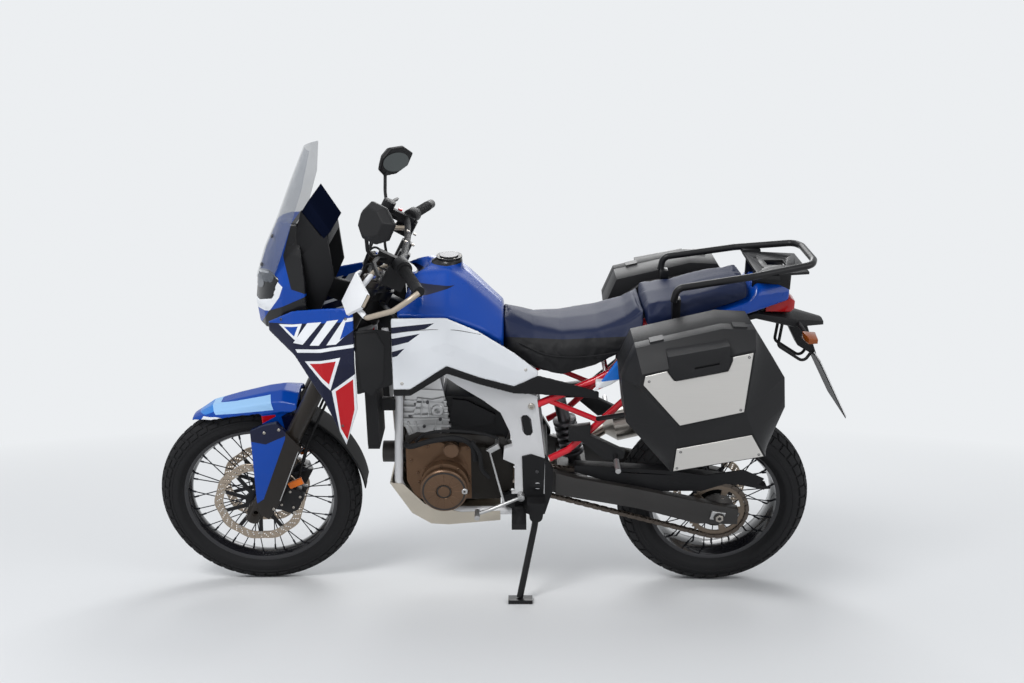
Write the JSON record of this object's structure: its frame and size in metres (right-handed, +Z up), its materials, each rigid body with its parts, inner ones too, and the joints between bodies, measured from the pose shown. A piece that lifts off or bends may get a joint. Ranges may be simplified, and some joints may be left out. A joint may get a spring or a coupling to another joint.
{
  "type": "adventure motorcycle",
  "caption": "Tall adventure motorcycle leaning on its side stand, with spoked wheels, beak fender, tall screen, split bodywork, luggage rack and hinged side cases.",
  "frame": {"origin": "on the ground, at the centre of the whole bounding box's bottom face", "axes": "+X to the rear wheel, +Y to the rider's right side, +Z up"},
  "size_m": [2.3249, 1.0642, 1.5314],
  "materials": {
    "tyre_rubber": "matte tread",
    "black_alloy": "satin black",
    "disc_steel": "brushed",
    "fork_black": "satin",
    "frame_white": "satin",
    "cobalt_gloss": "gloss",
    "white_gloss": "gloss",
    "black_plastic": "fine grain",
    "plate_alloy": "bead blasted",
    "radiator_black": "matte",
    "bronze_paint": "satin bronze",
    "engine_dark": "satin",
    "silver_alloy": "cast",
    "caliper_black": "satin",
    "pipe_steel": "brushed",
    "seat_cover": "grained",
    "red_frame": "gloss red",
    "rack_black": "satin",
    "lamp_lens": "clear",
    "red_lens": "clear red",
    "amber_lens": "clear amber",
    "clear_screen": "lightly smoked",
    "plate_white": "blank",
    "case_black": "fine grain",
    "stand_steel": "satin"
  },
  "bodies": {
    "chassis": {"black_trims": "black_plastic", "case_left": "case_black", "case_right": "case_black", "chain_guard": "black_plastic", "cradle": "fork_black", "crankcase": "engine_dark", "cylinders": "silver_alloy", "display": "black_plastic", "drive_chain": "disc_steel", "engine_covers": "bronze_paint", "exhaust_pipes": "pipe_steel", "fairing_stay": "black_plastic", "foot_levers": "silver_alloy", "foot_pegs": "silver_alloy", "fuel_tank": "cobalt_gloss", "headlamps": "lamp_lens", "indicators": "amber_lens", "main_frame": "frame_white", "nose_cowl": "cobalt_gloss", "number_plate": "plate_white", "pannier_carriers": "rack_black", "passenger_seat": "seat_cover", "rack": "rack_black", "radiators": "radiator_black", "rear_caliper": "caliper_black", "rear_fender": "black_plastic", "rear_shock": "stand_steel", "rear_side_covers": "cobalt_gloss", "rider_seat": "seat_cover", "side_cowls": "cobalt_gloss", "side_panels": "white_gloss", "silencer": "pipe_steel", "skid_plate": "plate_alloy", "subframe": "red_frame", "swingarm": "fork_black", "tail_cover": "cobalt_gloss", "tail_light": "red_lens", "throttle_body": "black_plastic", "windscreen": "clear_screen"},
    "steering": {"brake_hoses": "fork_black", "fork_guards": "cobalt_gloss", "fork_legs": "fork_black", "front_calipers": "caliper_black", "front_fender": "cobalt_gloss", "hand_controls": "black_plastic", "hand_guards": "white_gloss", "handlebar": "fork_black", "mirrors": "black_plastic", "triple_clamps": "black_alloy"},
    "front_wheel": {"front_tyre": "tyre_rubber", "front_wheel": "black_alloy", "front_discs": "disc_steel"},
    "rear_wheel": {"rear_tyre": "tyre_rubber", "rear_wheel": "black_alloy", "rear_disc": "disc_steel", "rear_sprocket": "disc_steel"},
    "left_lid": {"lid_left": "case_black"},
    "right_lid": {"lid_right": "case_black"},
    "side_stand": {"side_stand": "stand_steel"}
  },
  "joints": [
    {"name": "steering_turn", "type": "hinge", "parent": "chassis", "child": "steering", "pos_m": [-0.76248, 0.26166, 0.30002], "axis": [0.4597, -0.3182, 0.8291], "range_deg": [-37.5, 32.5]},
    {"name": "front_wheel_spin", "type": "hinge", "parent": "steering", "child": "front_wheel", "pos_m": [-0.81571, 0.24934, 0.32481], "axis": [-0.0387, 0.9255, 0.3767], "continuous": true},
    {"name": "rear_wheel_spin", "type": "hinge", "parent": "chassis", "child": "rear_wheel", "pos_m": [0.75926, 0.25551, 0.31603], "axis": [0, 0.9336, 0.3584], "continuous": true},
    {"name": "side_stand_fold", "type": "hinge", "parent": "chassis", "child": "side_stand", "pos_m": [0.13918, 0.07866, 0.28841], "axis": [0, 0.9336, 0.3584], "range_deg": [-100, 0]},
    {"name": "left_lid_turn", "type": "hinge", "parent": "chassis", "child": "left_lid", "pos_m": [0.6774, -0.17434, 0.52896], "axis": [0.9809, -0.0697, 0.1816], "range_deg": [0, 75]},
    {"name": "right_lid_turn", "type": "hinge", "parent": "chassis", "child": "right_lid", "pos_m": [0.6774, 0.43248, 0.7619], "axis": [-0.9809, 0.0697, -0.1816], "range_deg": [0, 75]}
  ]
}
